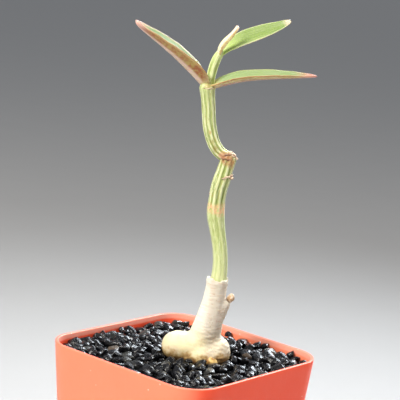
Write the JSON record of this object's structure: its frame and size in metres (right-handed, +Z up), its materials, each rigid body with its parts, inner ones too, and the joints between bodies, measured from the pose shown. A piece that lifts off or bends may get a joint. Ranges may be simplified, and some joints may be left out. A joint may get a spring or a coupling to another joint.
{
  "type": "potted monadenium",
  "caption": "Young caudex succulent with a pale swollen base, a ribbed kinked green stem and folded pointed leaves, in a small square tapered plastic pot topped with black gravel.",
  "frame": {"origin": "centre of the pot's underside, on the surface that it stands on", "axes": "+Z up, X and Y along the sides of the square pot"},
  "size_m": [0.064, 0.064, 0.1649],
  "materials": {
    "terracotta_plastic": "thin moulded orange-red plastic with a soft sheen",
    "potting_mix": "damp, dark, bark-based mix",
    "black_gravel": "crushed black stone, wet and glossy",
    "pale_bark": "smooth cream bark with fine cross wrinkles",
    "green_stem": "waxy green skin with pale ribs",
    "leaf_green": "fleshy green with thin red-brown margins"
  },
  "bodies": {
    "root": {"pot": "terracotta_plastic", "potting_mix": "potting_mix", "black_gravel": "black_gravel", "caudex": "pale_bark", "green_stem": "green_stem", "young_shoot": "green_stem", "leaf_left": "leaf_green", "leaf_right": "leaf_green", "leaf_young_right": "leaf_green", "leaf_young_upright": "leaf_green"}
  },
  "joints": []
}
